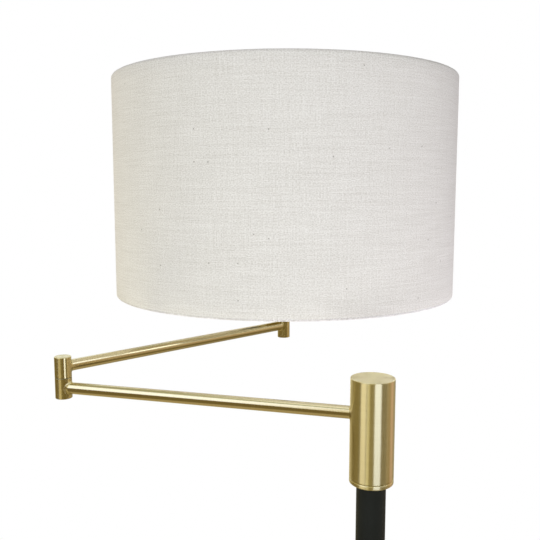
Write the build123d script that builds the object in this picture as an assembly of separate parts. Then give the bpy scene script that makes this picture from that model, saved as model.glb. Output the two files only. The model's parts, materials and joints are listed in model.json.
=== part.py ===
# Swing-arm floor lamp with a drum shade, in millimetres, +Z up.
# The origin is the middle of the base on the floor, +X is to the right of the front and +Y to the back.
import os
from math import cos, radians, sin, tan

from build123d import *

# Clearances
thread_gap = 0.05  # round threaded, pressed and glued pieces
pin_gap = 0.05  # between a turning piece and its pin or thrust face
seam_gap = 0.3  # between faces that turn past each other in view
turn_gap = 0.4  # between curved faces that turn past each other out of view
nest_gap = 0.3  # base weight inside its cover
slip_gap = 0.1  # pole inside its collars
skin_gap = 0.05  # between the layers of the shade

# Threaded lamp rod, 10 mm, hollow for the wire, and what screws onto it
rod_radius = 5.0
rod_wall = 1.5
nut_wall = 3.0
nut_height = 5.0
washer_width = 6.0
washer_thickness = 2.0
thread_end = 1.0  # thread that shows past a nut

# Round base: felt pad, cast weight and spun cover
pad_thickness = 2.5
pad_inset = 4.0
base_radius = 130.0
base_edge_height = 20.0
base_dome_rise = 4.0
base_edge_round = 6.0
base_wall = 1.2
base_seat_margin = 6.0
recess_margin = 5.0
recess_room = 2.0

# Cord inlet in the back of the base
inlet_height = 7.0
inlet_bore = 3.4
inlet_wall = 1.0
inlet_flange = 1.5
inlet_flange_thickness = 2.0
inlet_snap = 0.6
inlet_snap_thickness = 1.5
channel_room = 1.0

# Pole in three screwed sections
pole_radius = 12.7
pole_wall = 1.2
pole_section = 377.0
pole_names = ("pole_lower", "pole_middle", "pole_upper")
plug_length = 18.0
nipple_reach = 15.0
base_collar_wall = 5.0
base_collar_height = 10.0
base_collar_round = 2.0

# Turning head on top of the pole
spigot_wall = 3.8
spigot_height = 6.0
spigot_web = 2.5
ring_height = 4.0
head_wall = 2.0
head_top = 3.0
head_edge = 0.5
head_above_arm = 31.7
arm_block_margin = 4.5
arm_block_room = 1.5
tube_seat = 7.0  # inner end of the lower arm from the head's axis

# Swivel cartridge inside the head
stud_length = 14.0
journal_step = 2.0
shoulder_step = 2.0
shoulder_height = 3.0
hub_length = 24.1
bush_wall = 2.0
bush_flange = 2.0
bush_flange_thickness = 1.5
bush_spacing = 4.0
spring_washer_width = 4.5
spring_washer_thickness = 0.7
spring_washer_rise = 0.5
swivel_nut_height = 6.0

# Arms and elbow, with the angles of the arms as they rest
tube_radius = 5.6
tube_wall = 1.5
arm_length = 296.6
lower_arm_angle = 164.4
upper_arm_angle = 43.3
knuckle_shoulder = 2.4
knuckle_wall = 1.7
knuckle_end = 4.4
knuckle_web = 4.0
knuckle_edge = 0.8
knuckle_cap_thickness = 3.0
chamber_room = 0.3
pin_head = 1.0
pin_head_height = 2.0
pin_wall = 1.5
pin_nut_height = 3.0
pin_nut_room = 0.4
seam_washer_thickness = 0.5
seam_washer_inset = 0.25

# Barrel at the end of the upper arm and the stem in it
lamp_knuckle_wall = 2.45
lamp_knuckle_below = 15.0
lamp_knuckle_above = 18.0
lamp_knuckle_edge = 0.5
lamp_knuckle_base = 7.0
stem_reach = 10.0

# Lamp holder round the bulb's cap
bulb_cap_radius = 13.0
bulb_cap_length = 24.0
bulb_gap = 0.3
shell_wall = 0.4
shell_gap = 0.1
shell_lift = 1.0
shell_height = 32.0
skirt_wall = 2.4
skirt_height = 26.0
socket_step = 1.6
socket_gap = 0.2
socket_flange = 3.2
socket_flange_thickness = 3.0
socket_floor_wall = 3.0
cup_wall = 1.0
cup_height = 16.0
cup_round = 4.0
contact_radius = 5.0
contact_height = 3.0

# Bulb glass and the tip of its cap
bulb_tip_radius = 4.5
bulb_tip_rise = 5.0
bulb_neck_step = 0.4
bulb_neck_length = 23.7
bulb_neck_round = 14.0
bulb_taper = 35.0
bulb_globe_radius = 30.0
bulb_glass_wall = 0.9

# Turn switch on the side of the lamp holder
switch_angle = -90.0
switch_margin = 9.5
shaft_radius = 2.0
shaft_depth = 9.0
knob_radius = 5.5
knob_tip_radius = 4.6
knob_length = 14.0
knob_end_wall = 5.0
knob_flutes = 10
knob_flute_radius = 1.0
knob_flute_depth = 0.5

# Drum shade on its wire frame
shade_radius = 203.0
shade_height = 254.0
fabric_thickness = 0.7
liner_thickness = 0.6
ring_wire = 1.3
ring_room = 0.45
fold_tuck = 2.0
fitter_drop = 24.0
fitter_gap = 0.4
fitter_margin = 4.5
fitter_thickness = 1.5
clamp_gap = 0.1
clamp_wall = 6.2
clamp_height = 7.0
clamp_flutes = 18
clamp_flute_radius = 1.5
clamp_flute_depth = 0.6
spoke_count = 3
spoke_wire = 1.5
spoke_bend = 8.0
spoke_turn = 60.0

on_base = (Align.CENTER, Align.CENTER, Align.MIN)

# Base and pole, levels above the floor
rod_bore = rod_radius - rod_wall
rod_hole = rod_radius + thread_gap
washer_radius = rod_radius + washer_width
base_top = pad_thickness + base_edge_height + base_dome_rise
recess_top = pad_thickness + washer_thickness + nut_height + recess_room
washer_low = recess_top - washer_thickness
inlet_neck = inlet_bore + inlet_wall
inlet_snap_radius = inlet_neck + inlet_snap
pole_bore = pole_radius - pole_wall
pole_top = base_top + pole_section * len(pole_names)
collar_bore = pole_radius + slip_gap
collar_radius = collar_bore + base_collar_wall
base_seat_radius = collar_radius + base_seat_margin

# Head and its swivel, levels above the bottom of the head's ring
spigot_radius = collar_bore + spigot_wall
spigot_top = ring_height + spigot_height
pole_stop = spigot_top - spigot_web
head_bore = spigot_radius + turn_gap
head_radius = head_bore + head_wall
journal_radius = rod_radius + journal_step
shoulder_top = spigot_top + shoulder_height
bush_radius = journal_radius + pin_gap + bush_wall
bush_length = (hub_length - bush_spacing) / 2
hub_low = shoulder_top + pin_gap + bush_flange_thickness
hub_high = hub_low + hub_length
spring_low = hub_high + bush_flange_thickness + pin_gap
nut_low = spring_low + spring_washer_rise + spring_washer_thickness
nut_high = nut_low + swivel_nut_height
spindle_top = nut_high + thread_end
block_half = tube_radius + arm_block_margin
arm_height = spindle_top + arm_block_room + block_half
head_height = arm_height + head_above_arm

# Elbow and the barrel at the end of the upper arm
tube_bore = tube_radius - tube_wall
tube_hole = tube_radius + thread_gap
knuckle_radius = tube_radius + knuckle_shoulder
knuckle_half = tube_radius + knuckle_end
chamber_radius = knuckle_radius - knuckle_wall
pin_head_radius = chamber_radius - chamber_room
pin_radius = pin_head_radius - pin_head
pin_hole = pin_radius + pin_gap
web_low = knuckle_half - knuckle_web
upper_arm_rise = 2 * knuckle_half + seam_washer_thickness + pin_gap
lamp_knuckle_radius = rod_hole + lamp_knuckle_wall

# Lamp holder and bulb, levels above the upper arm
shell_bore = bulb_cap_radius + bulb_gap
shell_radius = shell_bore + shell_wall
socket_bore = shell_radius + shell_gap
skirt_radius = socket_bore + skirt_wall
socket_radius = skirt_radius + socket_step
cup_bore = socket_radius + socket_gap
cup_radius = cup_bore + cup_wall
cup_floor = lamp_knuckle_above + cup_wall
cup_top = lamp_knuckle_above + cup_height
switch_height = cup_top + switch_margin + knob_radius
flange_low = switch_height + knob_radius + switch_margin
flange_top = flange_low + socket_flange_thickness
skirt_top = flange_top + skirt_height
socket_floor = switch_height + shaft_radius + socket_floor_wall
contact_top = socket_floor + contact_height
bulb_low = contact_top + thread_gap
bulb_cap_top = bulb_low + bulb_cap_length
glass_low = bulb_cap_top + thread_gap
bulb_neck_radius = bulb_cap_radius - bulb_neck_step

# Shade, levels above the upper arm, and its layers from the outside in
fitter_top = flange_top + fitter_thickness
clamp_top = fitter_top + clamp_height
clamp_bore = skirt_radius + clamp_gap
clamp_radius = clamp_bore + clamp_wall
fitter_radius = clamp_radius + fitter_margin
liner_outside = shade_radius - fabric_thickness - skin_gap
liner_inside = liner_outside - liner_thickness
ring_radius = liner_inside - ring_room - ring_wire
hem_outside = ring_radius - ring_wire - ring_room
hem_inside = hem_outside - fabric_thickness
fold_radius = (shade_radius - hem_inside) / 2
fold_middle = (shade_radius + hem_inside) / 2
shade_low = flange_top - fitter_drop
shade_high = shade_low + shade_height
low_ring_height = shade_low + fold_radius
high_ring_height = shade_high - fold_radius

# Frames of the turning bodies at rest
inlet_frame = Pos(0, base_radius, pad_thickness + inlet_height) * Rot(0, 0, 90)
head_frame = Pos(0, 0, pole_top - pole_stop)
lower_frame = head_frame * Pos(0, 0, arm_height) * Rot(0, 0, lower_arm_angle)
elbow_frame = lower_frame * Pos(arm_length, 0, 0)
elbow_turn = upper_arm_angle - lower_arm_angle
upper_frame = elbow_frame * Pos(0, 0, upper_arm_rise) * Rot(0, 0, elbow_turn)
lamp_frame = upper_frame * Pos(arm_length, 0, 0)
switch_frame = Rot(0, 0, switch_angle) * Pos(0, 0, switch_height)


def disc(radius, low, high):
    return Pos(0, 0, low) * Cylinder(radius, high - low, align=on_base)


def sleeve(radius, bore, low, high):
    return disc(radius, low, high) - disc(bore, low, high)


def bar(radius, start, end):
    return Pos(start, 0, 0) * Rot(0, 90, 0) * Cylinder(radius, end - start, align=on_base)


def turned(radius, low, high, low_edge=0, high_edge=0):
    body = disc(radius, low, high)
    if low_edge:
        body = chamfer(body.edges().sort_by(Axis.Z)[0], low_edge)
    if high_edge:
        body = chamfer(body.edges().sort_by(Axis.Z)[-1], high_edge)
    return body


def hex_nut(bore, low, high):
    prism = extrude(RegularPolygon(rod_radius + nut_wall, 6, major_radius=False), high - low)
    return Pos(0, 0, low) * prism - disc(bore, low, high)


def flutes(radius, flute_radius, depth, count, low, high):
    flute = Pos(radius + flute_radius - depth, 0, 0) * disc(flute_radius, low, high)
    return [Rot(0, 0, order * 360 / count) * flute for order in range(count)]


# Domed round form with a flat seat in the middle, standing at the pad's top
def base_form(radius, edge_height, rise, edge_round):
    top = edge_height + rise
    seat = (base_seat_radius, top)
    rim = (radius, edge_height)
    outline = Polyline(seat, (0, top), (0, 0), (radius, 0), rim) + TangentArc(seat, rim, tangent=(1, 0))
    body = revolve(Plane.XZ * make_face(outline), Axis.Z)
    rim_edges = body.edges().filter_by(GeomType.CIRCLE).filter_by_position(
        Axis.Z, edge_height - thread_gap, edge_height + thread_gap
    )
    return Pos(0, 0, pad_thickness) * fillet(rim_edges, edge_round)


def make_base_cover():
    inside = base_form(
        base_radius - base_wall, base_edge_height - base_wall, base_dome_rise, base_edge_round - base_wall
    )
    cover = base_form(base_radius, base_edge_height, base_dome_rise, base_edge_round) - inside
    inlet_hole = inlet_frame * bar(inlet_neck + slip_gap, -2 * inlet_neck, inlet_neck)
    return cover - disc(rod_hole, 0, base_top + base_wall) - inlet_hole


def make_base_weight():
    skin = base_wall + nest_gap
    weight = base_form(
        base_radius - skin, base_edge_height - skin, base_dome_rise + nest_gap, base_edge_round - skin
    )
    recess = disc(washer_radius + recess_margin, 0, recess_top)
    channel_width = 2 * (inlet_snap_radius + channel_room)
    channel_height = pad_thickness + inlet_height + inlet_snap_radius + channel_room
    channel = Box(channel_width, base_radius, channel_height, align=(Align.CENTER, Align.MIN, Align.MIN))
    return weight - disc(rod_hole, 0, base_top) - recess - channel


def make_cord_inlet_bush():
    wall_depth = base_wall + 2 * slip_gap
    flange = bar(inlet_neck + inlet_flange, thread_gap, inlet_flange_thickness)
    flange = fillet(flange.edges().sort_by(Axis.X)[-1], inlet_wall)
    neck = bar(inlet_neck, -wall_depth - inlet_snap_thickness, inlet_flange_thickness)
    snap = bar(inlet_snap_radius, -wall_depth - inlet_snap_thickness, -wall_depth)
    bore = bar(inlet_bore, -2 * inlet_neck, 2 * inlet_neck)
    return inlet_frame * (flange + neck + snap - bore)


def make_base_collar():
    body = disc(collar_radius, base_top, base_top + base_collar_height)
    body = fillet(body.edges().sort_by(Axis.Z)[-1], base_collar_round)
    return body - disc(collar_bore, base_top, base_top + base_collar_height)


def make_pole(parts):
    plugs = []
    nipples = []
    for order, name in enumerate(pole_names):
        low = base_top + order * pole_section
        high = low + pole_section
        parts[name] = sleeve(pole_radius, pole_bore, low, high)
        plugs.append(sleeve(pole_bore - thread_gap, rod_hole, low, low + plug_length))
        plugs.append(sleeve(pole_bore - thread_gap, rod_hole, high - plug_length, high))
        if order:
            nipples.append(sleeve(rod_radius, rod_bore, low - nipple_reach, low + nipple_reach))
    parts["pole_end_plugs"] = Compound(children=plugs)
    parts["pole_nipples"] = Compound(children=nipples)


def make_stand(parts):
    parts["floor_pad"] = disc(base_radius - base_wall - pad_inset, 0, pad_thickness)
    parts["base_cover"] = make_base_cover()
    parts["base_weight"] = make_base_weight()
    parts["base_washer"] = sleeve(washer_radius, rod_hole, washer_low, recess_top)
    parts["base_nut"] = hex_nut(rod_hole, washer_low - nut_height, washer_low)
    rod_low = washer_low - nut_height - thread_end
    parts["base_rod"] = sleeve(rod_radius, rod_bore, rod_low, base_top + nipple_reach)
    parts["cord_inlet_bush"] = make_cord_inlet_bush()
    parts["base_collar"] = make_base_collar()
    make_pole(parts)


# Ring and spigot that the head turns on, clamped over the pole's end
def make_swivel_collar():
    ring = turned(head_radius, 0, ring_height, low_edge=head_edge)
    spigot = disc(spigot_radius, 0, spigot_top)
    return ring + spigot - disc(collar_bore, 0, pole_stop) - disc(rod_hole, 0, spigot_top)


def make_swivel_spindle():
    stud = disc(rod_radius, pole_stop - stud_length, spindle_top)
    shoulder = disc(journal_radius + shoulder_step, spigot_top, shoulder_top)
    journal = disc(journal_radius, spigot_top, spring_low)
    return stud + shoulder + journal - disc(rod_bore, pole_stop - stud_length, spindle_top)


# Flanged bush, standing on its flange, for one end of the hub
def make_bush():
    flange = disc(bush_radius + bush_flange, 0, bush_flange_thickness)
    body = disc(bush_radius, 0, bush_flange_thickness + bush_length)
    return flange + body - disc(journal_radius + pin_gap, 0, bush_flange_thickness + bush_length)


# Coned spring washer, its outer edge on the bush and its inner edge under the nut
def make_spring_washer():
    edge = rod_radius + spring_washer_width
    outline = Polyline(
        (edge, spring_low),
        (edge, spring_low + spring_washer_thickness),
        (rod_hole, nut_low),
        (rod_hole, spring_low + spring_washer_rise),
        close=True,
    )
    return revolve(Plane.XZ * make_face(outline), Axis.Z)


def make_swivel(parts):
    parts["swivel_collar"] = head_frame * make_swivel_collar()
    parts["swivel_spindle"] = head_frame * make_swivel_spindle()
    parts["swivel_spring_washer"] = head_frame * make_spring_washer()
    parts["swivel_nut"] = head_frame * hex_nut(rod_hole, nut_low, nut_high)
    lower_seat = head_frame * Pos(0, 0, hub_low - bush_flange_thickness)
    upper_seat = head_frame * Pos(0, 0, hub_high + bush_flange_thickness) * Rot(180, 0, 0)
    parts["head_bush_lower"] = lower_seat * make_bush()
    parts["head_bush_upper"] = upper_seat * make_bush()
    hub = sleeve(head_bore - thread_gap, bush_radius + thread_gap, hub_low, hub_high)
    parts["head_hub"] = head_frame * hub


def make_head_barrel():
    low = ring_height + seam_gap
    barrel = turned(head_radius, low, head_height, high_edge=head_edge)
    barrel = barrel - disc(head_bore, low, head_height - head_top)
    return head_frame * barrel - lower_frame * bar(tube_hole, 0, 2 * head_radius)


def make_arm_block():
    block = disc(head_bore - thread_gap, -block_half, block_half) - disc(tube_bore, -block_half, block_half)
    return block - bar(tube_bore, 0, tube_seat) - bar(tube_hole, tube_seat, head_radius)


def make_lower_tube():
    tube = bar(tube_radius, tube_seat, arm_length) - bar(tube_bore, tube_seat, arm_length)
    return tube - Pos(arm_length, 0, 0) * disc(chamber_radius, -knuckle_half, knuckle_half)


# Elbow barrel about its arm's height: the web carries the pin, and the far end is open for a cap
def make_knuckle():
    barrel = turned(knuckle_radius, -knuckle_half, knuckle_half, high_edge=knuckle_edge)
    chamber = disc(chamber_radius, knuckle_web - knuckle_half, knuckle_half)
    barrel = barrel - chamber - disc(pin_hole, -knuckle_half, knuckle_half)
    return barrel - bar(tube_hole, 0, 2 * knuckle_radius)


def make_knuckle_cap():
    return disc(chamber_radius - thread_gap, knuckle_half - knuckle_cap_thickness, knuckle_half)


# Hollow pin, from the nut under the lower web to the head above the upper web
def make_elbow_pin():
    web_high = upper_arm_rise - web_low + pin_gap
    low = web_low - pin_nut_height - thread_end
    high = web_high + pin_head_height
    shank = disc(pin_radius, low, high)
    head = disc(pin_head_radius, web_high, high)
    return shank + head - disc(pin_radius - pin_wall, low, high)


def make_elbow(parts):
    lower_side = elbow_frame * Rot(180, 0, 0) * Rot(0, 0, 180)
    parts["elbow_lower_knuckle"] = lower_side * make_knuckle()
    parts["elbow_bottom_cap"] = lower_side * make_knuckle_cap()
    seam_high = knuckle_half + seam_washer_thickness
    seam_radius = knuckle_radius - seam_washer_inset
    parts["elbow_washer"] = elbow_frame * sleeve(seam_radius, pin_hole, knuckle_half, seam_high)
    parts["elbow_pin"] = elbow_frame * make_elbow_pin()
    nut_radius = chamber_radius - pin_nut_room
    parts["elbow_nut"] = elbow_frame * sleeve(nut_radius, pin_hole, web_low - pin_nut_height, web_low)
    parts["elbow_upper_knuckle"] = upper_frame * make_knuckle()
    parts["elbow_top_cap"] = upper_frame * make_knuckle_cap()


def make_arms(parts):
    parts["head_barrel"] = make_head_barrel()
    parts["head_arm_block"] = lower_frame * make_arm_block()
    parts["lower_arm_tube"] = lower_frame * make_lower_tube()
    make_elbow(parts)
    tube_end = arm_length - rod_hole
    upper_tube = bar(tube_radius, 0, tube_end) - bar(tube_bore, 0, tube_end)
    parts["upper_arm_tube"] = upper_frame * (upper_tube - disc(chamber_radius, -knuckle_half, knuckle_half))


# Barrel at the arm's end, bored from the top for the stem and from the side for the arm
def make_lamp_knuckle():
    edge = lamp_knuckle_edge
    barrel = turned(lamp_knuckle_radius, -lamp_knuckle_below, lamp_knuckle_above, edge, edge)
    bore = disc(rod_hole, lamp_knuckle_base - lamp_knuckle_below, lamp_knuckle_above)
    arm_hole = bar(tube_hole, -2 * lamp_knuckle_radius, -rod_hole)
    return barrel - bore - arm_hole - bar(tube_bore, -rod_hole, 0)


def make_socket_cup():
    outside = disc(cup_radius, lamp_knuckle_above, cup_top)
    outside = fillet(outside.edges().sort_by(Axis.Z)[0], cup_round)
    inside = disc(cup_bore, cup_floor, cup_top + cup_wall)
    inside = fillet(inside.edges().sort_by(Axis.Z)[0], cup_round - cup_wall)
    return outside - inside - disc(rod_hole, lamp_knuckle_above, cup_floor)


def make_socket_body():
    body = disc(socket_radius, cup_floor, flange_low)
    body = fillet(body.edges().sort_by(Axis.Z)[0], cup_round)
    flange = disc(socket_radius + socket_flange, flange_low, flange_top)
    skirt = disc(skirt_radius, flange_low, skirt_top)
    bore = disc(socket_bore, socket_floor, skirt_top)
    stem_hole = disc(rod_hole, cup_floor, cup_floor + stem_reach)
    shaft_hole = bar(shaft_radius + pin_gap, socket_radius - shaft_depth, 2 * socket_radius)
    return body + flange + skirt - bore - stem_hole - switch_frame * shaft_hole


def make_socket(parts):
    parts["lamp_knuckle"] = lamp_frame * make_lamp_knuckle()
    stem_low = lamp_knuckle_above - stem_reach
    parts["socket_stem"] = lamp_frame * sleeve(rod_radius, rod_bore, stem_low, cup_floor + stem_reach)
    parts["socket_cup"] = lamp_frame * make_socket_cup()
    parts["socket_body"] = lamp_frame * make_socket_body()
    shell_low = socket_floor + shell_lift
    shell = sleeve(shell_radius, shell_bore, shell_low, shell_low + shell_height)
    parts["socket_screw_shell"] = lamp_frame * shell
    parts["socket_contact"] = lamp_frame * disc(contact_radius, socket_floor, contact_top)


def make_bulb_cap():
    tip = (bulb_tip_radius, bulb_low)
    wide = (bulb_cap_radius, bulb_low + bulb_tip_rise)
    rim = (bulb_cap_radius, bulb_cap_top)
    outline = Polyline((0, bulb_low), tip, wide, rim, (0, bulb_cap_top), close=True)
    return revolve(Plane.XZ * make_face(outline), Axis.Z)


# Where the cone of a bulb ends on its neck and begins on its globe, below the globe's middle
def bulb_cone(globe, neck):
    slope = radians(bulb_taper)
    meet_drop = globe * sin(slope)
    return meet_drop, meet_drop + (globe * cos(slope) - neck) / tan(slope)


# Pear form of a bulb: a straight neck, a cone, and a globe that the cone meets in a smooth line
def bulb_form(skin):
    middle = bulb_neck_length + bulb_cone(bulb_globe_radius, bulb_neck_radius)[1]
    globe = bulb_globe_radius - skin
    neck = bulb_neck_radius - skin
    meet_drop, neck_drop = bulb_cone(globe, neck)
    meet = (globe * cos(radians(bulb_taper)), middle - meet_drop)
    neck_top = middle - neck_drop
    crown = (0, middle + globe)
    sides = Polyline(crown, (0, 0), (neck, 0), (neck, neck_top), meet)
    face = make_face(sides + ThreePointArc(meet, (globe, middle), crown))
    form = revolve(Plane.XZ * face, Axis.Z)
    bend = form.edges().filter_by(GeomType.CIRCLE).filter_by_position(
        Axis.Z, neck_top - thread_gap, neck_top + thread_gap
    )
    return Pos(0, 0, glass_low) * fillet(bend, bulb_neck_round)


def make_bulb(parts):
    parts["bulb_cap"] = lamp_frame * make_bulb_cap()
    parts["bulb_globe"] = lamp_frame * (bulb_form(0) - bulb_form(bulb_glass_wall))


def make_switch(parts):
    start = socket_radius + turn_gap
    end = start + knob_length
    shaft_end = end - knob_end_wall
    knob = Pos(start, 0, 0) * Rot(0, 90, 0) * Cone(knob_radius, knob_tip_radius, knob_length, align=on_base)
    knob = fillet(knob.edges().sort_by(Axis.X)[-1], knob_flute_radius)
    grooves = flutes(knob_radius, knob_flute_radius, knob_flute_depth, knob_flutes, start, end)
    knob = knob - [Rot(0, 90, 0) * groove for groove in grooves]
    knob = knob - bar(shaft_radius + thread_gap, start, shaft_end)
    shaft = bar(shaft_radius, socket_radius - shaft_depth, shaft_end)
    parts["switch_shaft"] = lamp_frame * switch_frame * shaft
    parts["switch_knob"] = lamp_frame * switch_frame * knob


# Cloth rolled round the wire at one edge of the shade, seen as a hook in section
def hem_outline(edge, inward):
    centre = edge + inward * fold_radius
    tuck = centre + inward * fold_tuck
    edge_inside = edge + inward * fabric_thickness
    wall_inside = shade_radius - fabric_thickness
    outer = ThreePointArc((shade_radius, centre), (fold_middle, edge), (hem_inside, centre))
    inner = ThreePointArc((hem_outside, centre), (fold_middle, edge_inside), (wall_inside, centre))
    hook = Polyline((hem_inside, centre), (hem_inside, tuck), (hem_outside, tuck), (hem_outside, centre))
    mouth = Line((wall_inside, centre), (shade_radius, centre))
    return make_face(outer + hook + inner + mouth)


def make_shade_fabric():
    wall = sleeve(shade_radius, shade_radius - fabric_thickness, low_ring_height, high_ring_height)
    low_hem = revolve(Plane.XZ * hem_outline(shade_low, 1), Axis.Z)
    high_hem = revolve(Plane.XZ * hem_outline(shade_high, -1), Axis.Z)
    return wall + low_hem + high_hem


# Spoke from the top of the fitter's washer, out and down onto the bottom ring
def make_spoke():
    height = fitter_top + thread_gap + spoke_wire
    start = (clamp_radius + spoke_wire / 2, 0, height)
    corner = (ring_radius, 0, height)
    foot = (ring_radius, 0, low_ring_height + ring_wire + skin_gap)
    route = FilletPolyline(start, corner, foot, radius=spoke_bend)
    return sweep(Plane(route @ 0, z_dir=route % 0) * Circle(spoke_wire), path=route)


def make_clamp_ring():
    low = fitter_top
    high = clamp_top
    ring = sleeve(clamp_radius, clamp_bore, low, high)
    return ring - flutes(clamp_radius, clamp_flute_radius, clamp_flute_depth, clamp_flutes, low, high)


def make_shade(parts):
    fitter = sleeve(fitter_radius, skirt_radius + fitter_gap, flange_top, fitter_top)
    parts["shade_fitter"] = lamp_frame * fitter
    parts["shade_clamp_ring"] = lamp_frame * make_clamp_ring()
    turns = [spoke_turn + order * 360 / spoke_count for order in range(spoke_count)]
    parts["shade_spokes"] = Compound(children=[lamp_frame * Rot(0, 0, turn) * make_spoke() for turn in turns])
    wire_ring = Torus(ring_radius, ring_wire)
    parts["shade_bottom_ring"] = lamp_frame * Pos(0, 0, low_ring_height) * wire_ring
    parts["shade_top_ring"] = lamp_frame * Pos(0, 0, high_ring_height) * wire_ring
    parts["shade_liner"] = lamp_frame * sleeve(liner_outside, liner_inside, low_ring_height, high_ring_height)
    parts["shade_fabric"] = lamp_frame * make_shade_fabric()


def main():
    parts = {}
    make_stand(parts)
    make_swivel(parts)
    make_arms(parts)
    make_socket(parts)
    make_bulb(parts)
    make_switch(parts)
    make_shade(parts)
    os.makedirs("parts", exist_ok=True)
    for name, shape in parts.items():
        export_step(shape, f"parts/{name}.step")
    print(f"{len(parts)} pieces, lower arm at {arm_height:.2f}, upper arm {upper_arm_rise:.2f} higher")
    print(f"shade {shade_low:.2f} to {shade_high:.2f}, switch {switch_height:.2f}, glass {glass_low:.2f}")
    print(f"lamp holder at {lamp_frame.position}")


main()
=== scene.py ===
import json
import math

import bmesh
import bpy
from mathutils import Matrix, Vector


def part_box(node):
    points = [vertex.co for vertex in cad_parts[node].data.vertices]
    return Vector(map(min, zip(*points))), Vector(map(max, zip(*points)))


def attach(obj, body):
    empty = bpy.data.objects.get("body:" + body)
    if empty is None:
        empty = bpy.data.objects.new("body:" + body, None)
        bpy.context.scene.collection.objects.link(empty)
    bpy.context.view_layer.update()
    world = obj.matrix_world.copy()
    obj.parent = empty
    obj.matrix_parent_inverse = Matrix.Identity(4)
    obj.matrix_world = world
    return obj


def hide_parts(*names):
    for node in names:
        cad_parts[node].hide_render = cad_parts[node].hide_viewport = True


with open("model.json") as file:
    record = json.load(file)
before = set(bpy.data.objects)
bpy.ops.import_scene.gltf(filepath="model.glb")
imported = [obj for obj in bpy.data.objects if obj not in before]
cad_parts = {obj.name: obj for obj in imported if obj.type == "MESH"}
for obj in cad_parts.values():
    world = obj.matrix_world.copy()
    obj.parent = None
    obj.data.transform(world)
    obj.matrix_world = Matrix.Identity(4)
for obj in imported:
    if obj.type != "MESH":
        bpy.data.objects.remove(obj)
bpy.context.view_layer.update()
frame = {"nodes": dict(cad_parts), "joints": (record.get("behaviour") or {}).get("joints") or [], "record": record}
nodes = frame["nodes"]
joints = {joint["name"]: joint for joint in frame["joints"]}
scene = bpy.context.scene
print("frame loaded,", len(nodes), "nodes")

# the three upright axes of the lamp
headAxis = Vector(joints["head_swivel"]["pos_m"])
elbowAxis = Vector(joints["elbow_swivel"]["pos_m"])
lampAxis = Vector(joints["switch_turn"]["pos_m"])
upright = Vector((0, 0, 1))
tiny = 1e-6  # points nearer than this are one


# node helpers

def addNode(tree, kind, inputs=None, **settings):
    node = tree.nodes.new("ShaderNode" + kind)
    for key, value in settings.items():
        setattr(node, key, value)
    for key, value in (inputs or {}).items():
        if isinstance(value, bpy.types.NodeSocket):
            tree.links.new(value, node.inputs[key])
        else:
            node.inputs[key].default_value = value
    return node


def newGroup(name, inputs, outputs):
    group = bpy.data.node_groups.new(name, "ShaderNodeTree")
    for label, kind, value in inputs:
        socket = group.interface.new_socket(label, in_out="INPUT", socket_type="NodeSocket" + kind)
        socket.default_value = value
    for label, kind in outputs:
        group.interface.new_socket(label, in_out="OUTPUT", socket_type="NodeSocket" + kind)
    return group, group.nodes.new("NodeGroupInput"), group.nodes.new("NodeGroupOutput")


def useGroup(tree, group, inputs):
    return addNode(tree, "Group", inputs, node_tree=group)


def math2(tree, operation, first, second=0.0):
    node = addNode(tree, "Math", {0: first, 1: second}, operation=operation)
    return node.outputs[0]


# stretches the span that is given to the one that is wanted
def remap(tree, value, given, wanted):
    node = addNode(tree, "MapRange", dict(enumerate((value, *given, *wanted))), clamp=True)
    return node.outputs[0]


def mixColor(tree, share, first, second, blend="MIX"):
    node = addNode(tree, "Mix", {0: share, 6: first, 7: second}, data_type="RGBA", blend_type=blend)
    return node.outputs[2]


def joined(tree, x, y, z=0.0):
    return addNode(tree, "CombineXYZ", {0: x, 1: y, 2: z}).outputs[0]


def scaledPlace(tree, vector, scale):
    return addNode(tree, "Mapping", {"Vector": vector, "Scale": scale}).outputs[0]


def noise(tree, vector, detail, roughness=0.5, scale=1.0):
    node = addNode(tree, "TexNoise", {
        "Vector": vector, "Scale": scale, "Detail": detail, "Roughness": roughness,
    })
    return node.outputs["Fac"]


def bump(tree, height, depth, strength=1.0):
    node = addNode(tree, "Bump", {"Height": height, "Strength": strength, "Distance": depth})
    return node.outputs["Normal"]


def newMaterial(name, settings):
    material = bpy.data.materials.new(name)
    material.use_nodes = True
    shader = material.node_tree.nodes["Principled BSDF"]
    for key, value in settings.items():
        shader.inputs[key].default_value = value
    return material, material.node_tree, shader


# shared effects

# noise keeps near its middle, so a finish stretches one of these spans to its own range
grainSpan, cloudSpan = (0.3, 0.7), (0.35, 0.65)
turning = {
    "streakLength": 0.02, "streakWidth": 0.0004, "detail": 3.0, "roughness": 0.6,
    "wideDetail": 2.0, "wideAlong": 0.4, "wideAcross": 0.17, "wideStart": 3.7, "wideShare": 0.45,
    "cloud": 45, "tarnishSpan": (0.45, 0.75), "tarnishShare": 0.35,
}
coating = {"grainDetail": 2.0, "cloudDetail": 4.0, "metalCloud": 60.0}


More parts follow.
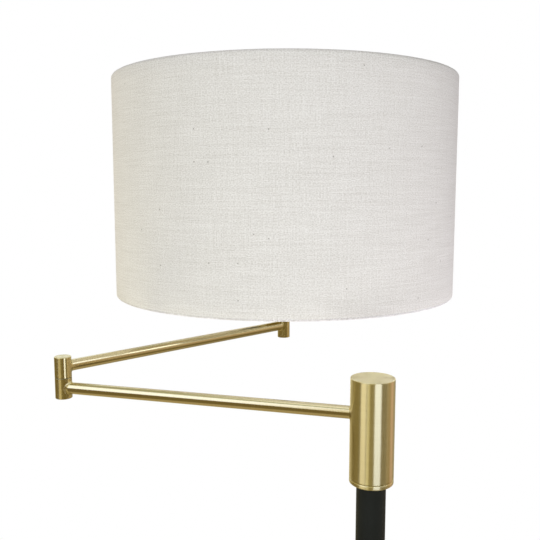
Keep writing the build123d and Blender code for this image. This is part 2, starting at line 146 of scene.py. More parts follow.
# fine and wide streaks that run round a turned piece
def makeTurnedGrain():
    group, given, out = newGroup(
        "turnedGrain",
        [("Place", "Vector", (0, 0, 0)), ("Length", "Float", 0.03), ("Width", "Float", 0.0002)],
        [("Streak", "Float"), ("Cloud", "Float")],
    )
    place, detail, roughness = given.outputs["Place"], turning["detail"], turning["roughness"]
    girthwise, upward = addNode(group, "SeparateXYZ", {0: place}).outputs[:2]
    along = math2(group, "DIVIDE", girthwise, given.outputs["Length"])
    across = math2(group, "DIVIDE", upward, given.outputs["Width"])
    fine = noise(group, joined(group, along, across), detail, roughness)
    wideAlong = math2(group, "MULTIPLY", along, turning["wideAlong"])
    wideAcross = math2(group, "MULTIPLY", across, turning["wideAcross"])
    wide = noise(group, joined(group, wideAlong, wideAcross, turning["wideStart"]), turning["wideDetail"])
    both = addNode(group, "Mix", {0: turning["wideShare"], 2: fine, 3: wide}).outputs[0]
    cloud = noise(group, scaledPlace(group, place, (turning["cloud"],) * 3), detail, roughness)
    group.links.new(both, out.inputs["Streak"])
    group.links.new(cloud, out.inputs["Cloud"])
    return group


def makeCoatGrain():
    group, given, out = newGroup(
        "coatGrain",
        [("Place", "Vector", (0, 0, 0)), ("Grain", "Float", 1600.0), ("Cloud Size", "Float", 18.0)],
        [("Grain", "Float"), ("Cloud", "Float")],
    )
    place, grainSize, cloudSize = given.outputs[:3]
    grain = noise(group, place, coating["grainDetail"], scale=grainSize)
    cloud = noise(group, place, coating["cloudDetail"], scale=cloudSize)
    group.links.new(grain, out.inputs["Grain"])
    group.links.new(cloud, out.inputs["Cloud"])
    return group


turnedGrain = makeTurnedGrain()
coatGrain = makeCoatGrain()


# materials

def objectPlace(tree):
    return addNode(tree, "TexCoord").outputs["Object"]


def uvPlace(tree, uvName):
    return addNode(tree, "UVMap", uv_map=uvName).outputs["UV"]


def makeTurnedMetal(name, finish):
    material, tree, shader = newMaterial(name, {
        "Metallic": 1.0, "Coat Weight": 0.15,
        "Anisotropic": finish["anisotropic"], "Anisotropic Rotation": 0.25,
    })
    grain = useGroup(tree, turnedGrain, {
        "Place": uvPlace(tree, "turned"), "Length": turning["streakLength"], "Width": turning["streakWidth"],
    })
    streak = grain.outputs["Streak"]
    tint = mixColor(tree, remap(tree, streak, grainSpan, (0, 1)), finish["deep"], finish["bright"])
    tarnish = remap(tree, grain.outputs["Cloud"], turning["tarnishSpan"], (0, turning["tarnishShare"]))
    tint = mixColor(tree, tarnish, tint, finish["tarnish"])
    tree.links.new(tint, shader.inputs["Base Color"])
    tree.links.new(remap(tree, streak, grainSpan, finish["roughness"]), shader.inputs["Roughness"])
    tree.links.new(bump(tree, streak, finish["depth"]), shader.inputs["Normal"])
    tangent = addNode(tree, "Tangent", direction_type="UV_MAP", uv_map="turned")
    tree.links.new(tangent.outputs[0], shader.inputs["Tangent"])
    return material


def makeGrained(name, finish, roughBy):
    material, tree, shader = newMaterial(name, finish["shader"])
    grain = useGroup(tree, coatGrain, {
        "Place": objectPlace(tree), "Grain": finish["grain"], "Cloud Size": finish["cloud"],
    })
    cloud = remap(tree, grain.outputs["Cloud"], cloudSpan, (0, 1))
    rough = remap(tree, grain.outputs[roughBy], grainSpan, finish["roughness"])
    tree.links.new(mixColor(tree, cloud, finish["deep"], finish["bright"]), shader.inputs["Base Color"])
    tree.links.new(rough, shader.inputs["Roughness"])
    tree.links.new(bump(tree, grain.outputs["Grain"], finish["depth"]), shader.inputs["Normal"])
    return material


# the shine of a plain metal changes in clouds, that of a coat with its grain
def makePlainMetal(name, finish):
    return makeGrained(name, {"shader": {"Metallic": 1.0}, "cloud": coating["metalCloud"]} | finish, "Cloud")


def makeCoat(name, finish):
    return makeGrained(name, finish, "Grain")


linen = {
    "thread": 0.0007, "threadRun": 0.03, "rowStep": 0.61, "runSpread": 9.0,
    "weft": 0.26, "weftSeed": 2.3, "warp": 0.22, "warpSeed": 7.9, "knots": 0.52, "knotSize": (0.0016, 0.0011),
    "light": (0.91, 0.895, 0.87, 1), "shadow": (0.63, 0.605, 0.565, 1), "contrast": (0.357, 0.643),
    "slubSize": (0.05, 0.0008), "slubSpan": (0.6, 0.72), "slubShare": 0.3,
    "patch": 22, "patchSpan": (0.4, 0.7), "patchShare": 0.06,
    "fleck": (0.22, 0.19, 0.16, 1), "fleckCell": 0.015, "fleckSize": 0.045, "fleckShare": 0.035,
    "fleckGrain": 0.0005, "fleckSpan": (0.25, 0.75), "fleckDark": 0.7,
    # the first colour below is painted shade, multiplied into the cloth along the rolled bottom edge and the
    # seam's leading edge
    "paintedShade": (0.64, 0.64, 0.70, 1), "weavePitch": 0.0007, "weaveShare": 0.25, "weaveDepth": 0.00015,
    "bump": 0.7,
}


# a few cells of a wide grid hold one ragged dark fleck each
def fleckMask(tree, place):
    cells = addNode(tree, "TexVoronoi", {
        "Vector": scaledPlace(tree, place, (1 / linen["fleckCell"],) * 3), "Scale": 1.0,
    }, voronoi_dimensions="2D")
    pick = addNode(tree, "SeparateColor", {0: cells.outputs["Color"]}).outputs[0]
    ragged = noise(tree, scaledPlace(tree, place, (1 / linen["fleckGrain"],) * 3), detail=1.0)
    reach = remap(tree, ragged, linen["fleckSpan"], (0, 2 * linen["fleckSize"]))
    near = math2(tree, "LESS_THAN", cells.outputs["Distance"], reach)
    return math2(tree, "MULTIPLY", math2(tree, "LESS_THAN", pick, linen["fleckShare"]), near)


# each thread runs on for a while in one tone, and its neighbours change elsewhere
def threadRow(tree, along, across, seed):
    row = math2(tree, "DIVIDE", across, linen["thread"])
    rowPlace = joined(tree, math2(tree, "MULTIPLY", row, linen["rowStep"]), seed)
    start = math2(tree, "MULTIPLY", noise(tree, rowPlace, detail=0.0), linen["runSpread"])
    run = math2(tree, "ADD", math2(tree, "DIVIDE", along, linen["threadRun"]), start)
    return noise(tree, joined(tree, run, row, seed), detail=1.0)


def stretchedNoise(tree, place, size):
    return noise(tree, scaledPlace(tree, place, (1 / size[0], 1 / size[1], 1)), detail=1.0)


def makeLinen():
    material, tree, shader = newMaterial("linen", {
        "Roughness": 0.92, "Specular IOR Level": 0.2, "Sheen Weight": 0.1,
    })
    place = uvPlace(tree, "turned")
    girthwise, upward = addNode(tree, "SeparateXYZ", {0: place}).outputs[:2]
    weft = math2(tree, "MULTIPLY", threadRow(tree, girthwise, upward, linen["weftSeed"]), linen["weft"])
    warp = math2(tree, "MULTIPLY", threadRow(tree, upward, girthwise, linen["warpSeed"]), linen["warp"])
    knots = math2(tree, "MULTIPLY", stretchedNoise(tree, place, linen["knotSize"]), linen["knots"])
    threads = math2(tree, "ADD", math2(tree, "ADD", weft, warp), knots)
    slub = stretchedNoise(tree, place, linen["slubSize"])
    patch = noise(tree, scaledPlace(tree, place, (linen["patch"],) * 3), detail=3.0)
    slub = remap(tree, slub, linen["slubSpan"], (0, linen["slubShare"]))
    patch = remap(tree, patch, linen["patchSpan"], (0, linen["patchShare"]))
    tone = mixColor(tree, remap(tree, threads, linen["contrast"], (0, 1)), linen["shadow"], linen["light"])
    tone = mixColor(tree, slub, tone, linen["light"])
    tone = mixColor(tree, patch, tone, linen["shadow"])
    dark = math2(tree, "MULTIPLY", fleckMask(tree, place), linen["fleckDark"])
    tone = mixColor(tree, dark, tone, linen["fleck"])
    # painted shade: the cloth is multiplied by a grey where the mesh attribute marks the rolled bottom edge and
    # the seam's leading edge
    paintedShade = addNode(tree, "Attribute", attribute_name="paintedShade").outputs["Fac"]
    tree.links.new(mixColor(tree, paintedShade, tone, linen["paintedShade"], "MULTIPLY"), shader.inputs["Base Color"])
    pitch = math.pi / linen["weavePitch"]
    over = math2(tree, "SINE", math2(tree, "MULTIPLY", girthwise, pitch))
    under = math2(tree, "SINE", math2(tree, "MULTIPLY", upward, pitch))
    crossing = math2(tree, "MULTIPLY", math2(tree, "MULTIPLY", over, under), linen["weaveShare"])
    weave = math2(tree, "ADD", crossing, threads)
    tree.links.new(bump(tree, weave, linen["weaveDepth"], linen["bump"]), shader.inputs["Normal"])
    return material


# brass: the head and the cup are brushed on a lathe, the barrels are turned finer, the arms are drawn
drawnTint = {
    "deep": (0.71, 0.62, 0.37, 1), "bright": (0.77, 0.68, 0.43, 1), "tarnish": (0.70, 0.60, 0.35, 1),
}
turnedTint = {
    "deep": (0.71, 0.62, 0.32, 1), "bright": (0.77, 0.68, 0.37, 1), "tarnish": (0.70, 0.60, 0.30, 1),
}
brushedBrass = {"roughness": (0.30, 0.36), "anisotropic": 1.0, "depth": 0.000003}
barrelBrass = {"roughness": (0.22, 0.27), "anisotropic": 0.9, "depth": 0.000002}
drawnBrass = {"roughness": (0.18, 0.21), "anisotropic": 0.5, "depth": 0.0000008}
materials = {
    "satin_brass": makeTurnedMetal("brushedBrass", turnedTint | brushedBrass),
    "barrel_brass": makeTurnedMetal("barrelBrass", turnedTint | barrelBrass),
    "drawn_brass": makeTurnedMetal("drawnBrass", drawnTint | drawnBrass),
    "knob_brass": makePlainMetal("knobBrass", {
        "deep": (0.70, 0.61, 0.36, 1), "bright": (0.77, 0.68, 0.43, 1), "roughness": (0.24, 0.34),
        "grain": 900.0, "depth": 0.00001}),
    "raw_brass": makePlainMetal("rawBrass", {
        "deep": (0.62, 0.45, 0.20, 1), "bright": (0.78, 0.60, 0.30, 1), "roughness": (0.25, 0.42),
        "grain": 900.0, "depth": 0.00002}),
    "zinc_steel": makePlainMetal("zincSteel", {
        "deep": (0.48, 0.49, 0.50, 1), "bright": (0.66, 0.67, 0.68, 1), "roughness": (0.28, 0.45),
        "grain": 900.0, "depth": 0.00002}),
    "bulb_aluminium": makePlainMetal("bulbAluminium", {
        "deep": (0.66, 0.66, 0.66, 1), "bright": (0.80, 0.80, 0.80, 1), "roughness": (0.25, 0.4),
        "grain": 900.0, "depth": 0.00002}),
    "cast_iron": makePlainMetal("castIron", {
        "deep": (0.06, 0.06, 0.062, 1), "bright": (0.14, 0.14, 0.145, 1), "roughness": (0.55, 0.8),
        "grain": 500.0, "depth": 0.0002}),
    "satin_black": makeCoat("satinBlack", {
        "shader": {"Specular IOR Level": 0.2},
        "deep": (0.0096, 0.0112, 0.0105, 1), "bright": (0.0128, 0.0147, 0.0138, 1), "roughness": (0.38, 0.60),
        "grain": 1100.0, "cloud": 14.0, "depth": 0.00012}),
    "felt": makeCoat("felt", {
        "shader": {"Specular IOR Level": 0.1, "Sheen Weight": 0.3}, "deep": (0.02, 0.02, 0.02, 1),
        "bright": (0.06, 0.06, 0.06, 1), "roughness": (0.85, 1.0),
        "grain": 1800.0, "cloud": 90.0, "depth": 0.0003}),
    "black_nylon": makeCoat("blackNylon", {
        "shader": {}, "deep": (0.02, 0.02, 0.02, 1), "bright": (0.035, 0.035, 0.035, 1),
        "roughness": (0.4, 0.6), "grain": 2500.0, "cloud": 60.0, "depth": 0.00002}),
    "white_nylon": makeCoat("whiteNylon", {
        "shader": {"Subsurface Weight": 0.1}, "deep": (0.74, 0.73, 0.69, 1), "bright": (0.84, 0.83, 0.79, 1),
        "roughness": (0.4, 0.55), "grain": 2500.0, "cloud": 60.0, "depth": 0.00001}),
    "black_phenolic": makeCoat("blackPhenolic", {
        "shader": {"Coat Weight": 0.25}, "deep": (0.012, 0.011, 0.010, 1), "bright": (0.03, 0.027, 0.025, 1),
        "roughness": (0.25, 0.4), "grain": 1800.0, "cloud": 120.0, "depth": 0.00001}),
    "white_wire": makeCoat("whiteWire", {
        "shader": {}, "deep": (0.76, 0.75, 0.72, 1), "bright": (0.85, 0.84, 0.81, 1),
        "roughness": (0.3, 0.45), "grain": 1200.0, "cloud": 40.0, "depth": 0.00002}),
    "shade_backing": makeCoat("shadeBacking", {
        "shader": {"Specular IOR Level": 0.4},
        "deep": (0.80, 0.785, 0.745, 1), "bright": (0.88, 0.87, 0.83, 1), "roughness": (0.45, 0.6),
        "grain": 700.0, "cloud": 9.0, "depth": 0.00002}),
    "bulb_glass": makeCoat("bulbGlass", {
        "shader": {"Transmission Weight": 0.25, "Coat Weight": 0.2}, "deep": (0.93, 0.92, 0.90, 1),
        "bright": (0.95, 0.94, 0.92, 1), "roughness": (0.25, 0.3),
        "grain": 2200.0, "cloud": 40.0, "depth": 0.000002}),
    "linen": makeLinen(),
}
finishOf = {part["node"]: part["material_slot"] for part in frame["record"]["subparts"]}
finishOf["switch_knob"] = "knob_brass"  # fluted, so it has no streaks round it
for name, node in nodes.items():
    node.data.materials.clear()
    node.data.materials.append(materials[finishOf[name]])
print("materials made,", len(materials))


# pieces turned about an axis

def unwrapTurned(bm, girth, shift=(0, 0)):
    uvLayer = bm.loops.layers.uv.new("turned")
    for face in bm.faces:
        middle = face.calc_center_median()
        base = math.atan2(middle.y, middle.x)
        for loop in face.loops:
            spot = loop.vert.co
            radius = math.hypot(spot.x, spot.y)
            turn = math.atan2(spot.y, spot.x) - base if radius > tiny else 0.0
            turn = (turn + math.pi) % math.tau - math.pi
            loop[uvLayer].uv = ((base + turn) * girth + shift[0], spot.z - radius + shift[1])


def turnedMesh(outline, closed, steps):
    bm = bmesh.new()
    verts = [bm.verts.new((radius, 0, height)) for radius, height in outline]
    pairs = list(zip(verts, verts[1:]))
    if closed:
        pairs.append((verts[-1], verts[0]))
    edges = [bm.edges.new(pair) for pair in pairs]
    bmesh.ops.spin(
        bm, geom=verts + edges, cent=(0, 0, 0), axis=(0, 0, 1), angle=math.tau, steps=steps, use_merge=True,
    )
    bmesh.ops.remove_doubles(bm, verts=bm.verts, dist=tiny)
    bmesh.ops.recalc_face_normals(bm, faces=bm.faces)
    return bm


def sharpEdges(bm, sharpest=math.radians(30)):
    return [edge for edge in bm.edges if len(edge.link_faces) == 2 and edge.calc_face_angle() > sharpest]


def smoothFaces(bm):
    for face in bm.faces:
        face.smooth = True


# a rounding shades smoothly in itself and ends in a line
def softenEdges(bm, edges, width, segments=3):
    made = bmesh.ops.bevel(
        bm, geom=edges, offset=width, segments=segments, profile=0.5, affect="EDGES", material=-1,
        clamp_overlap=True,
    )
    rounded = set(made["faces"])
    smoothFaces(bm)
    for edge in bm.edges:
        if sum(face in rounded for face in edge.link_faces) == 1:
            edge.smooth = False


def addPiece(name, bm, slotName, body, replaced=(), finish=None):
    mesh = bpy.data.meshes.new(name)
    bm.to_mesh(mesh)
    bm.free()
    piece = bpy.data.objects.new(name, mesh)
    scene.collection.objects.link(piece)
    mesh.materials.append(materials[finish or slotName])
    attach(piece, body)
    if replaced:
        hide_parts(*replaced)
    return piece


def placeTurned(bm, place, way=upright):
    turn = way.to_track_quat("Z", "Y").to_matrix().to_4x4()
    bmesh.ops.transform(bm, matrix=Matrix.Translation(place) @ turn, verts=bm.verts)


# edges at the heights in fineAt get the fine rounding, all other sharp ones get edge
def turnedPiece(name, outline, place, body, replaced, edge, slotName="satin_brass", finish=None, way=upright,
                closed=True, steps=96, fineEdge=0.0001, fineAt=()):
    bm = turnedMesh(outline, closed, steps)
    sharp = sharpEdges(bm)
    fine = [line for line in sharp if any(abs(line.verts[0].co.z - height) < tiny for height in fineAt)]
    softenEdges(bm, [line for line in sharp if line not in fine], edge)
    if fine:
        softenEdges(bm, [line for line in fine if line.is_valid], fineEdge, segments=2)
    unwrapTurned(bm, max(radius for radius, height in outline))
    placeTurned(bm, place, way)
    return addPiece(name, bm, slotName, body, replaced, finish)


def levels(node):
    low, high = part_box(node)
    return low.z, high.z


def girthOf(node):
    low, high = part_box(node)
    return (high.x - low.x) / 2


def footOf(axis):
    return Vector((axis.x, axis.y, 0))


def levelLine(start, end):
    line = end - start
    line.z = 0
    return line


def quarterTurns(steps):
    return [math.pi / 2 * step / steps for step in range(steps + 1)]


# pole

pole = {"wall": 0.0012, "edge": 0.00055, "steps": 96}


def makePole():
    for name in ("pole_lower", "pole_middle", "pole_upper"):
        low, high = levels(name)
        radius = girthOf(name)
        bore = radius - pole["wall"]
        outline = [(bore, low), (radius, low), (radius, high), (bore, high)]
        part = name.split("_")[1]
        turnedPiece(
            "pole" + part.capitalize(), outline, (0, 0, 0), "stand", [name], pole["edge"], "satin_black",
            steps=pole["steps"],
        )


makePole()
print("pole made")


# turning head

head = {
    "wall": 0.002, "top": 0.003, "edge": 0.0005, "mouthEdge": 0.0005, "steps": 128,
    "ringBore": 0.0128, "ringSpigot": 0.0166, "ringEdge": 0.0011, "gap": 0.0003,
}


def makeHead():
    low, high = levels("head_barrel")
    radius, bore = girthOf("head_barrel"), girthOf("head_barrel") - head["wall"]
    roof = high - head["top"]
    outline = [(0, roof), (bore, roof), (bore, low), (radius, low), (radius, high), (0, high)]
    turnedPiece(
        "headBarrel", outline, (0, 0, 0), "lower_arm", ["head_barrel"], head["edge"], closed=False,
        steps=head["steps"], fineEdge=head["mouthEdge"], fineAt=[low],
    )
    shelf = low - head["gap"]
    low, high = levels("swivel_collar")
    spigot, hole = head["ringSpigot"], head["ringBore"]
    outline = [(hole, low), (radius, low), (radius, shelf), (spigot, shelf), (spigot, high), (hole, high)]
    turnedPiece(
        "headRing", outline, (0, 0, 0), "stand", ["swivel_collar"], head["ringEdge"], steps=head["steps"],
    )


makeHead()
print("head made")


# arms and elbow

arm = {"wall": 0.0015, "headEnd": 0.0168, "elbowEnd": 0.0066, "lampEnd": 0.0051, "edge": 0.0002, "steps": 64}
fillet = {"size": 0.0018, "headSize": 0.0009, "depth": 0.0006, "sink": 0.00003, "arcSteps": 8, "steps": 64}
elbow = {"wall": 0.0017, "web": 0.004, "edge": 0.0005, "seamEdge": 0.00015, "capEdge": 0.0002, "steps": 80}


def makeArm(name, node, start, end, nearGap, farGap, body):
    low, high = levels(node)
    line = levelLine(start, end)
    place = Vector((start.x, start.y, (low + high) / 2))
    radius, far = (high - low) / 2, line.length - farGap
    bore = radius - arm["wall"]
    outline = [(bore, nearGap), (radius, nearGap), (radius, far), (bore, far)]
    turnedPiece(
        name, outline, place, body, [node], arm["edge"], finish="drawn_brass", way=line.normalized(),
        steps=arm["steps"],
    )


def makeKnuckle(name, node, openEnd, body, cap):
    low, high = levels(node)
    radius, bore = girthOf(node), girthOf(node) - elbow["wall"]
    shut, mouth = (low, high) if openEnd == "top" else (high, low)
    web = shut + math.copysign(elbow["web"], mouth - shut)
    outline = [(0, web), (bore, web), (bore, mouth), (radius, mouth), (radius, shut), (0, shut)]
    place = footOf(elbowAxis)
    turnedPiece(
        name, outline, place, body, [node], elbow["edge"], finish="barrel_brass", closed=False,
        steps=elbow["steps"], fineEdge=elbow["seamEdge"], fineAt=[shut],
    )
    low, high = levels(cap)
    radius = girthOf(cap)
    outline = [(0, low), (radius, low), (radius, high), (0, high)]
    turnedPiece(
        name + "Cap", outline, place, body, [cap], elbow["capEdge"], finish="barrel_brass", closed=False,
        steps=elbow["steps"],
    )


# a brazed fillet, spun round the arm and then set against the barrel's round wall
def makeFillet(name, armNode, barrelNode, axis, toward, body, size=fillet["size"]):
    low, high = levels(armNode)
    bottom, top = levels(barrelNode)
    level, radius, barrel = (low + high) / 2, (high - low) / 2, girthOf(barrelNode)
    sink, size = fillet["sink"], min(size, level - bottom - radius, top - level - radius)
    arc = [
        (radius + size * (1 - math.sin(turn)) - sink, size * (1 - math.cos(turn)) - sink)
        for turn in quarterTurns(fillet["arcSteps"])
    ]
    inside, depth = radius - fillet["depth"], fillet["depth"]
    outline = [*arc, (inside, size - sink), (inside, -depth), (radius + size - sink, -depth)]
    bm = turnedMesh(outline, True, fillet["steps"])
    for vert in bm.verts:
        vert.co.z += math.sqrt(barrel ** 2 - vert.co.x ** 2)
    smoothFaces(bm)
    unwrapTurned(bm, radius)
    placeTurned(bm, Vector((axis.x, axis.y, level)), levelLine(axis, toward).normalized())
    addPiece(name, bm, "satin_brass", body, finish="barrel_brass")


def makeArms():
    makeArm("lowerArm", "lower_arm_tube", headAxis, elbowAxis, arm["headEnd"], arm["elbowEnd"], "lower_arm")
    makeArm("upperArm", "upper_arm_tube", elbowAxis, lampAxis, arm["elbowEnd"], arm["lampEnd"], "upper_arm")
    makeKnuckle("elbowLower", "elbow_lower_knuckle", "bottom", "lower_arm", "elbow_bottom_cap")
    makeKnuckle("elbowUpper", "elbow_upper_knuckle", "top", "upper_arm", "elbow_top_cap")
    makeFillet(
        "headFillet", "lower_arm_tube", "head_barrel", headAxis, elbowAxis, "lower_arm", fillet["headSize"],
    )
    makeFillet("elbowLowerFillet", "lower_arm_tube", "elbow_lower_knuckle", elbowAxis, headAxis, "lower_arm")
    makeFillet("elbowUpperFillet", "upper_arm_tube", "elbow_upper_knuckle", elbowAxis, lampAxis, "upper_arm")
    makeFillet("lampFillet", "upper_arm_tube", "lamp_knuckle", lampAxis, elbowAxis, "upper_arm")


makeArms()
print("arms made")


# lamp end

lampEnd = {
    "edge": 0.0004, "bore": 0.00505, "floor": 0.007, "cupWall": 0.001, "cupRound": 0.004, "cupEdge": 0.0002,
    "cupSteps": 8, "stemHole": 0.00515, "steps": 80,
}


def cupBend(middleRadius, middleHeight, bend):
    return [
        (middleRadius + bend * math.sin(turn), middleHeight - bend * math.cos(turn))
        for turn in quarterTurns(lampEnd["cupSteps"])
    ]


def makeCup(place):
    low, high = levels("socket_cup")
    radius, hole = girthOf("socket_cup"), lampEnd["stemHole"]
    wall, bend = lampEnd["cupWall"], lampEnd["cupRound"]
    outside = cupBend(radius - bend, low + bend, bend)
    inside = cupBend(radius - bend, low + bend, bend - wall)
    rim = [(radius, high), (radius - wall, high)]
    outline = [(hole, low), *outside, *rim, *inside[::-1], (hole, low + wall)]
    turnedPiece(
        "socketCup", outline, place, "upper_arm", ["socket_cup"], lampEnd["cupEdge"], steps=lampEnd["steps"],
    )


def makeLampEnd():
    place = footOf(lampAxis)
    low, high = levels("lamp_knuckle")
    radius, bore = girthOf("lamp_knuckle"), lampEnd["bore"]
    floor = low + lampEnd["floor"]
    outline = [(0, floor), (bore, floor), (bore, high), (radius, high), (radius, low), (0, low)]
    turnedPiece(
        "lampBarrel", outline, place, "upper_arm", ["lamp_knuckle"], lampEnd["edge"], finish="barrel_brass",
        closed=False, steps=lampEnd["steps"],
    )
    makeCup(place)


makeLampEnd()
print("lamp end made")


# drum shade

# the shares for the rolled bottom edge and the seam's leading edge set how much painted shade darkens the cloth
# there
shade = {
    "cloth": 0.0007, "tuck": 0.002, "hemSteps": 8, "rows": 20, "steps": 256, "hemPaintedShade": 0.6,
    "overlap": 0.012, "seamThickness": 0.0005, "seamEdge": 0.00015, "seamTurn": -90, "seamSteps": 8,
    "seamPaintedShadow": 0.8, "seamShift": (0.37, 0.11),
}


def hemArc(middleRadius, middleHeight, bend, down):
    points = []
    for step in range(shade["hemSteps"] + 1):
        turn = math.pi * step / shade["hemSteps"]
        height = bend * math.sin(turn) * (-1 if down else 1)
        points.append((middleRadius - bend * math.cos(turn), middleHeight + height))
    return points


# the cloth's cut end laps over its start at the back
def makeSeam(place, radius, low, high):
    bm = bmesh.new()
    outer = radius + shade["seamThickness"]
    corners = [(radius, low), (outer, low), (outer, high), (radius, high)]
    section = bm.faces.new([bm.verts.new((away, 0, height)) for away, height in corners])
    angle = shade["overlap"] / radius
    bmesh.ops.spin(bm, geom=[section], cent=(0, 0, 0), axis=(0, 0, 1), angle=angle, steps=shade["seamSteps"])
    bmesh.ops.recalc_face_normals(bm, faces=bm.faces)
    softenEdges(bm, sharpEdges(bm), shade["seamEdge"])
    # a painted shadow line along the seam's leading edge
    paintedShadeLayer = bm.verts.layers.float.new("paintedShade")
    for vert in bm.verts:
        along = math.atan2(vert.co.y, vert.co.x) * radius
        vert[paintedShadeLayer] = shade["seamPaintedShadow"] if along < shade["seamEdge"] else 0.0
    bmesh.ops.rotate(
        bm, cent=(0, 0, 0), matrix=Matrix.Rotation(math.radians(shade["seamTurn"]), 3, "Z"), verts=bm.verts,
    )
    unwrapTurned(bm, radius, shade["seamShift"])
    placeTurned(bm, place)
    return addPiece("shadeSeam", bm, "linen", "upper_arm")


def makeShade():
    low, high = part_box("shade_fabric")
    ringLow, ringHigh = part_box("shade_bottom_ring")
    place = footOf(lampAxis)
    radius = (high.x - low.x) / 2 - shade["cloth"] / 2
    ringMiddle = (ringHigh.x - ringLow.x) / 2 - (ringHigh.z - ringLow.z) / 2
    bend = radius - ringMiddle
    bottom = low.z + shade["cloth"] / 2 + bend
    top = high.z - shade["cloth"] / 2 - bend
    lowHem = hemArc(ringMiddle, bottom, bend, down=True)
    highHem = hemArc(ringMiddle, top, bend, down=False)[::-1]
    wall = [(radius, bottom + (top - bottom) * row / shade["rows"]) for row in range(1, shade["rows"])]
    inner = ringMiddle - bend
    profile = [(inner, bottom + shade["tuck"]), *lowHem, *wall, *highHem, (inner, top - shade["tuck"])]
    bm = turnedMesh(profile, closed=False, steps=shade["steps"])
    smoothFaces(bm)
    # painted shade on the rolled bottom edge and its tuck inside
    paintedShadeLayer = bm.verts.layers.float.new("paintedShade")
    for vert in bm.verts:
        vert[paintedShadeLayer] = shade["hemPaintedShade"] if vert.co.z < bottom else 0.0
    unwrapTurned(bm, radius)
    placeTurned(bm, place)
    cloth = addPiece("shadeCloth", bm, "linen", "upper_arm", ["shade_fabric"])
    thickness = cloth.modifiers.new("clothThickness", "SOLIDIFY")
    thickness.thickness = shade["cloth"]
    thickness.offset = 0.0
    seam = makeSeam(place, high.x - place.x, bottom, top)


makeShade()
print("shade made")


# floor, light and camera

studio = {
    "floorRadius": 2.0, "floorSteps": 96, "floorFade": 0.6,
    "floorColor": (0.86, 0.86, 0.85, 1), "floorGlow": 0.15,
    "air": (0.16, 0.16, 0.16, 1), "seen": (1, 1, 1, 1),
}
# what the metal mirrors: soft panels, by degrees right of the camera and degrees up, over a dark warm room
room = {
    "dark": (0.20, 0.15, 0.06, 1),
    "panels": [
        {"turn": (-200, 200), "rise": (-100, -50), "soft": 8, "color": (0.46, 0.38, 0.21, 1)},
        {"turn": (70, 135), "rise": (-22, 52), "soft": 6, "color": (0.48, 0.37, 0.24, 1)},
        {"turn": (67, 135), "rise": (-4, 52), "soft": 6, "color": (0.60, 0.47, 0.32, 1)},
        {"turn": (86, 135), "rise": (0, 40), "soft": 6, "color": (0.74, 0.61, 0.45, 1)},
        {"turn": (-135, -76), "rise": (10, 52), "soft": 6, "color": (0.80, 0.70, 0.40, 1)},
        {"turn": (-28, 6), "rise": (8, 54), "soft": 4, "color": (0.85, 0.78, 0.50, 1)},
        {"turn": (-200, 200), "rise": (54, 100), "soft": 4, "color": (0.45, 0.46, 0.33, 1)},
        {"turn": (-200, 200), "rise": (72, 100), "soft": 5, "color": (1.15, 1.20, 1.25, 1)},
        {"turn": (132, 200), "rise": (-60, 2), "soft": 8, "color": (0.34, 0.30, 0.22, 1)},
        {"turn": (-200, -132), "rise": (-60, 2), "soft": 8, "color": (0.56, 0.48, 0.27, 1)},
        {"turn": (132, 200), "rise": (2, 50), "soft": 4, "color": (1.00, 1.04, 1.06, 1)},
        {"turn": (-200, -132), "rise": (2, 50), "soft": 4, "color": (1.00, 1.04, 1.06, 1)},
        {"turn": (40, 87), "rise": (22, 44), "soft": 2, "color": (1.55, 1.65, 1.90, 1)},
        {"turn": (-76, -28), "rise": (11, 58), "soft": 3, "color": (1.50, 1.60, 1.95, 1)},
    ],
}
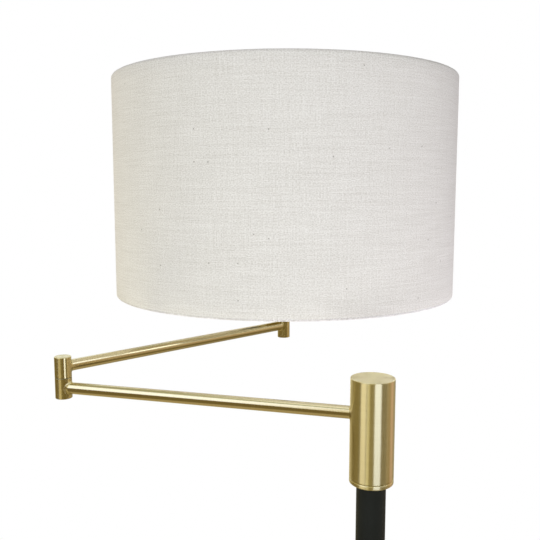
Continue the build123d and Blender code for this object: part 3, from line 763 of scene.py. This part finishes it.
# soft fills light the cloth and the coats and stay out of the metal
# a light with shownTo is a panel that only those pieces mirror
lampMiddle, headMiddle, keyAim = (0, 0.1, 1.25), (0.0, 0.0, 1.2), (0.0, 0.05, 1.22)
headPieces = ["headBarrel", "headRing"]
lights = [
    {"name": "frontFill", "at": (-0.40, -2.3, 0.55), "aim": lampMiddle, "size": (2.0, 1.2),
     "color": (52.6, 53.2, 53.2)},
    {"name": "lowLeft", "at": (-0.75, 0.1, 0.6), "aim": (-0.75, 0.1, 2), "size": (0.4, 0.7),
     "color": (2.8, 2.6, 1.3)},
    {"name": "lowRight", "at": (0.62, 0.1, 0.6), "aim": (0.62, 0.1, 2), "size": (0.4, 0.7),
     "color": (8.4, 7.9, 8.4)},
    {"name": "backFill", "at": (0.0, 3.0, 1.3), "aim": lampMiddle, "size": (2.2, 1.8),
     "color": (40.0, 40.0, 40.0)},
    {"name": "ceiling", "at": (0.0, 0.1, 3.3), "aim": lampMiddle, "size": (2.6, 2.6),
     "color": (22.0, 22.0, 22.0)},
    {"name": "leftRim", "at": (-1.6, 1.2, 1.0), "aim": lampMiddle, "size": (0.8, 1.4),
     "color": (15.0, 13.6, 11.6)},
    {"name": "keyPanel", "at": (0.20, -0.565, 1.25), "aim": keyAim, "size": (0.36, 0.75),
     "color": (1.33, 1.52, 2.25), "shownTo": headPieces},
    {"name": "elbowKey", "at": (0.25, -0.54, 1.25), "aim": keyAim, "size": (0.28, 0.75),
     "color": (1.05, 1.13, 1.5), "shownTo": ["elbowUpper", "elbowLowerFillet"]},
    {"name": "headPanel", "at": (-0.67, -0.485, 1.08), "aim": headMiddle, "size": (0.40, 0.5),
     "color": (0.86, 0.81, 0.70), "shownTo": headPieces},
    {"name": "headSide", "at": (-0.41, -0.71, 0.85), "aim": headMiddle, "size": (0.22, 0.65),
     "color": (0.36, 0.34, 0.22), "shownTo": headPieces},
    {"name": "headRight", "at": (0.765, 0.234, 1.0), "aim": headMiddle, "size": (0.28, 0.6),
     "color": (0.18, 0.11, 0.15), "shownTo": headPieces},
    {"name": "elbowPanel", "at": (-0.67, -0.485, 0.8), "aim": (-0.28, 0.08, 1.2), "size": (0.5, 0.65),
     "color": (0.56, 0.49, 0.34), "shownTo": ["elbowLower", "elbowUpper", "elbowLowerFillet"]},
    {"name": "backPanel", "at": (0.0, 1.5, 1.45), "aim": (0.0, 0.0, 1.24), "size": (1.6, 1.2),
     "color": (5.6, 5.6, 5.8), "shownTo": ["headBarrel"]},
    {"name": "armPanel", "at": (-0.1666, 0.1371, 1.2556), "aim": (-0.1940, 0.1662, 1.2306),
     "size": (0.072, 0.012), "color": (0.0042, 0.0045, 0.0053), "shownTo": ["upperArm"]},
    {"name": "topPanel", "at": (0.0, 0.07, 1.29), "aim": (0.0, 0.0, 1.265), "size": (0.12, 0.03),
     "color": (0.0061, 0.0072, 0.0112), "shownTo": ["headBarrel"]},
]
view = {
    "place": (-0.08693, -0.57021, 1.40094), "pitch": 6.766, "focalPixels": 693.28, "imagePixels": 540,
    "sensor": 36.0,
}


def makeFloor():
    bm = bmesh.new()
    bmesh.ops.create_circle(bm, cap_ends=True, radius=studio["floorRadius"], segments=studio["floorSteps"])
    mesh = bpy.data.meshes.new("floor")
    bm.to_mesh(mesh)
    bm.free()
    floor = bpy.data.objects.new("floor", mesh)
    scene.collection.objects.link(floor)
    material, tree, shader = newMaterial("paleFloor", {
        "Base Color": studio["floorColor"], "Roughness": 0.8, "Emission Color": (1, 1, 1, 1),
        "Emission Strength": studio["floorGlow"],
    })
    spread = addNode(tree, "VectorMath", {0: objectPlace(tree)}, operation="LENGTH").outputs["Value"]
    shown = remap(tree, spread, (studio["floorFade"], studio["floorRadius"]), (1.0, 0.0))
    above = math2(tree, "SUBTRACT", 1.0, addNode(tree, "NewGeometry").outputs["Backfacing"])
    tree.links.new(math2(tree, "MULTIPLY", shown, above), shader.inputs["Alpha"])
    mesh.materials.append(material)
    floor.visible_glossy = False


def softStep(tree, angle, start, end):
    return addNode(tree, "MapRange", {0: angle, 1: start, 2: end}, interpolation_type="SMOOTHSTEP").outputs[0]


def windowMask(tree, angle, low, high, soft):
    rise = softStep(tree, angle, low - soft, low + soft)
    fall = softStep(tree, angle, high + soft, high - soft)
    return math2(tree, "MULTIPLY", rise, fall)


def makeWorld():
    world = bpy.data.worlds.new("studio")
    scene.world = world
    world.use_nodes = True
    tree = world.node_tree
    tree.nodes.clear()
    way = addNode(tree, "SeparateXYZ", {0: addNode(tree, "TexCoord").outputs["Generated"]})
    toward = math2(tree, "MULTIPLY", way.outputs[1], -1.0)
    turn = math2(tree, "DEGREES", math2(tree, "ARCTAN2", way.outputs[0], toward))
    rise = math2(tree, "DEGREES", math2(tree, "ARCSINE", way.outputs[2]))
    mirrored = room["dark"]
    for panel in room["panels"]:
        across = windowMask(tree, turn, *panel["turn"], panel["soft"])
        upward = windowMask(tree, rise, *panel["rise"], panel["soft"])
        mirrored = mixColor(tree, math2(tree, "MULTIPLY", across, upward), mirrored, panel["color"])
    ray = addNode(tree, "LightPath").outputs
    air, panels, seen = [
        addNode(tree, "Background", {0: color, 1: 1.0}).outputs[0]
        for color in (studio["air"], mirrored, studio["seen"])
    ]
    lit = addNode(tree, "MixShader", {0: ray["Is Glossy Ray"], 1: air, 2: panels})
    pick = addNode(tree, "MixShader", {0: ray["Is Camera Ray"], 1: lit.outputs[0], 2: seen})
    out = tree.nodes.new("ShaderNodeOutputWorld")
    tree.links.new(pick.outputs[0], out.inputs[0])


def makeLights():
    for row in lights:
        lamp = bpy.data.lights.new(row["name"], "AREA")
        lamp.shape = "RECTANGLE"
        lamp.size, lamp.size_y = row["size"]
        lamp.energy = max(row["color"])
        lamp.color = [part / lamp.energy for part in row["color"]]
        source = bpy.data.objects.new(row["name"], lamp)
        source.location = row["at"]
        source.rotation_euler = (Vector(row["aim"]) - source.location).to_track_quat("-Z", "Y").to_euler()
        mirrored = "shownTo" in row
        source.visible_camera = False
        source.visible_glossy = mirrored
        source.visible_diffuse = not mirrored
        if mirrored:
            shown = bpy.data.collections.new(row["name"] + "Shown")
            for name in row["shownTo"]:
                shown.objects.link(bpy.data.objects[name])
            source.light_linking.receiver_collection = shown
        scene.collection.objects.link(source)


def makeCamera():
    lens = bpy.data.cameras.new("photoView")
    lens.sensor_width = view["sensor"]
    lens.lens = view["focalPixels"] / view["imagePixels"] * view["sensor"]
    camera = bpy.data.objects.new("photoView", lens)
    camera.location = view["place"]
    camera.rotation_euler = (math.radians(90 - view["pitch"]), 0, 0)
    scene.collection.objects.link(camera)
    scene.camera = camera


makeFloor()
makeWorld()
makeLights()
makeCamera()
scene.view_settings.view_transform = "Standard"
print("studio made")
